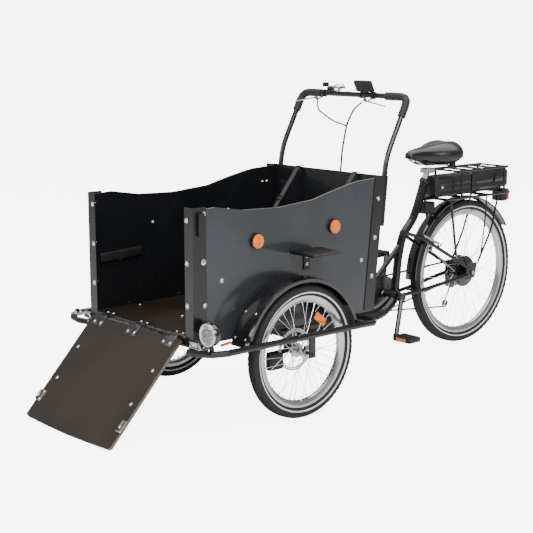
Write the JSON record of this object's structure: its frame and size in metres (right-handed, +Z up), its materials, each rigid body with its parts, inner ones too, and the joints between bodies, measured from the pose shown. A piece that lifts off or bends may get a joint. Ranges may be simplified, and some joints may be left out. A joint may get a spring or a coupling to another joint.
{
  "type": "cargo bicycle",
  "caption": "Front-load cargo tricycle with a ply box between two steered wheels, a let-down ramp and a battery-assisted rear wheel.",
  "frame": {"origin": "on the ground under the middle of the whole cycle", "axes": "+Z up, the rider faces -Y, +X is the cycle's own left"},
  "size_m": [0.9239, 2.4743, 1.2135],
  "materials": {
    "frame_black": "satin",
    "gloss_black": "gloss",
    "plastic_black": "matte",
    "panel_film": "gloss film",
    "floor_film": "film",
    "alloy": "polished",
    "steel": "satin",
    "rubber": "matte",
    "vinyl": "gloss",
    "webbing": "woven",
    "amber": "gloss",
    "red": "gloss"
  },
  "bodies": {
    "rear_frame": {"frame": "frame_black", "rear_rack": "frame_black", "rear_fender": "plastic_black", "tail_light": "red", "seat_clamp": "frame_black", "controller_box": "plastic_black", "rear_axle": "steel", "derailleur_body": "steel", "chain": "steel", "rack_strap": "webbing"},
    "derailleur_cage": {"derailleur_cage": "steel"},
    "rear_brake_left": {"rear_brake_arm_left": "alloy"},
    "rear_brake_right": {"rear_brake_arm_right": "alloy"},
    "battery": {"battery": "plastic_black"},
    "seat": {"seat_post": "alloy", "saddle": "vinyl"},
    "crank": {"crank_arm_left": "alloy", "crank_arm_right": "alloy", "chainring": "steel"},
    "pedal_left": {"pedal_left": "plastic_black"},
    "pedal_right": {"pedal_right": "plastic_black"},
    "rear_wheel": {"rear_tyre": "rubber", "rear_wheel": "alloy", "cassette": "steel"},
    "front_module": {"chassis": "frame_black", "box_floor": "floor_film", "side_panel_left": "panel_film", "side_panel_right": "panel_film", "back_panel": "panel_film", "front_post_left": "frame_black", "front_post_right": "frame_black", "rear_post_left": "frame_black", "rear_post_right": "frame_black", "fender_left": "gloss_black", "fender_right": "gloss_black", "caliper_left": "plastic_black", "caliper_right": "plastic_black", "handlebar": "frame_black", "grip_left": "rubber", "grip_right": "rubber", "display": "plastic_black", "bell": "alloy", "side_step": "plastic_black", "reflector_front_left": "amber", "reflector_rear_left": "amber", "handlebar_cables": "rubber", "seat_strap_left": "webbing", "seat_strap_right": "webbing"},
    "front_wheel_left": {"front_tyre_left": "rubber", "front_wheel_left": "alloy", "brake_rotor_left": "steel"},
    "front_wheel_right": {"front_tyre_right": "rubber", "front_wheel_right": "alloy", "brake_rotor_right": "steel"},
    "headlight": {"headlight": "plastic_black"},
    "ramp": {"ramp": "floor_film"},
    "brake_lever_left": {"brake_lever_left": "alloy"},
    "brake_lever_right": {"brake_lever_right": "alloy"},
    "shifter_lever": {"shifter_lever": "plastic_black"},
    "bell_lever": {"bell_lever": "steel"}
  },
  "joints": [
    {"name": "steering", "type": "hinge", "parent": "rear_frame", "child": "front_module", "pos_m": [0, -0.3398, 0.26], "axis": [0, 0, 1], "range_deg": [-35, 35]},
    {"name": "left_wheel_spin", "type": "hinge", "parent": "front_module", "child": "front_wheel_left", "pos_m": [0.392, -0.4548, 0.25], "axis": [1, 0, 0], "continuous": true},
    {"name": "right_wheel_spin", "type": "hinge", "parent": "front_module", "child": "front_wheel_right", "pos_m": [-0.392, -0.4548, 0.25], "axis": [1, 0, 0], "continuous": true},
    {"name": "rear_wheel_spin", "type": "hinge", "parent": "rear_frame", "child": "rear_wheel", "pos_m": [0, 0.9092, 0.328], "axis": [1, 0, 0], "continuous": true},
    {"name": "crank_spin", "type": "hinge", "parent": "rear_frame", "child": "crank", "pos_m": [0, 0.4532, 0.275], "axis": [1, 0, 0], "continuous": true},
    {"name": "left_pedal_spin", "type": "hinge", "parent": "crank", "child": "pedal_left", "pos_m": [0.076, 0.3987, 0.114], "axis": [1, 0, 0], "continuous": true},
    {"name": "right_pedal_spin", "type": "hinge", "parent": "crank", "child": "pedal_right", "pos_m": [-0.091, 0.5077, 0.436], "axis": [1, 0, 0], "continuous": true},
    {"name": "ramp_fold", "type": "hinge", "parent": "front_module", "child": "ramp", "pos_m": [0, -0.9108, 0.35], "axis": [-1, 0, 0], "range_deg": [0, 137]},
    {"name": "headlight_tilt", "type": "hinge", "parent": "front_module", "child": "headlight", "pos_m": [0.418, -0.8998, 0.352], "axis": [1, 0, 0], "range_deg": [-8, 8]},
    {"name": "left_brake_pull", "type": "hinge", "parent": "front_module", "child": "brake_lever_left", "pos_m": [0.112, 0.1492, 1.136], "axis": [0, -0.5, 0.866], "range_deg": [0, 15], "stiffness_Nm_per_rad": 0.3},
    {"name": "right_brake_pull", "type": "hinge", "parent": "front_module", "child": "brake_lever_right", "pos_m": [-0.172, 0.1492, 1.136], "axis": [0, 0.5, -0.866], "range_deg": [0, 15], "stiffness_Nm_per_rad": 0.3},
    {"name": "shift_push", "type": "hinge", "parent": "front_module", "child": "shifter_lever", "pos_m": [-0.136, 0.1992, 1.1815], "axis": [0, 0, 1], "range_deg": [0, 20], "stiffness_Nm_per_rad": 0.1},
    {"name": "bell_push", "type": "hinge", "parent": "front_module", "child": "bell_lever", "pos_m": [-0.085, 0.1887, 1.167], "axis": [0, 0, 1], "range_deg": [-14, 0], "stiffness_Nm_per_rad": 0.1},
    {"name": "rear_brake_left_arm", "type": "hinge", "parent": "rear_frame", "child": "rear_brake_left", "pos_m": [0.0556, 0.6922, 0.4813], "axis": [0, 0.46, 0.8879], "range_deg": [0, 7], "stiffness_Nm_per_rad": 0.3},
    {"name": "rear_brake_right_arm", "type": "hinge", "parent": "rear_frame", "child": "rear_brake_right", "pos_m": [-0.0556, 0.6922, 0.4813], "axis": [0, -0.46, -0.8879], "range_deg": [0, 7], "stiffness_Nm_per_rad": 0.3},
    {"name": "cage_swing", "type": "hinge", "parent": "rear_frame", "child": "derailleur_cage", "pos_m": [-0.056, 0.9072, 0.256], "axis": [1, 0, 0], "range_deg": [-8, 20], "stiffness_Nm_per_rad": 1},
    {"name": "seat_height", "type": "slide", "parent": "rear_frame", "child": "seat", "axis": [0, 0.3584, 0.9336], "range_m": [0, 0.05]},
    {"name": "battery_slide", "type": "slide", "parent": "rear_frame", "child": "battery", "axis": [0, 1, 0], "range_m": [0, 0.35]}
  ],
  "couplings": [
    {"joint": "rear_brake_left_arm", "follows": "right_brake_pull", "ratio": 0.4},
    {"joint": "rear_brake_right_arm", "follows": "right_brake_pull", "ratio": 0.4}
  ]
}
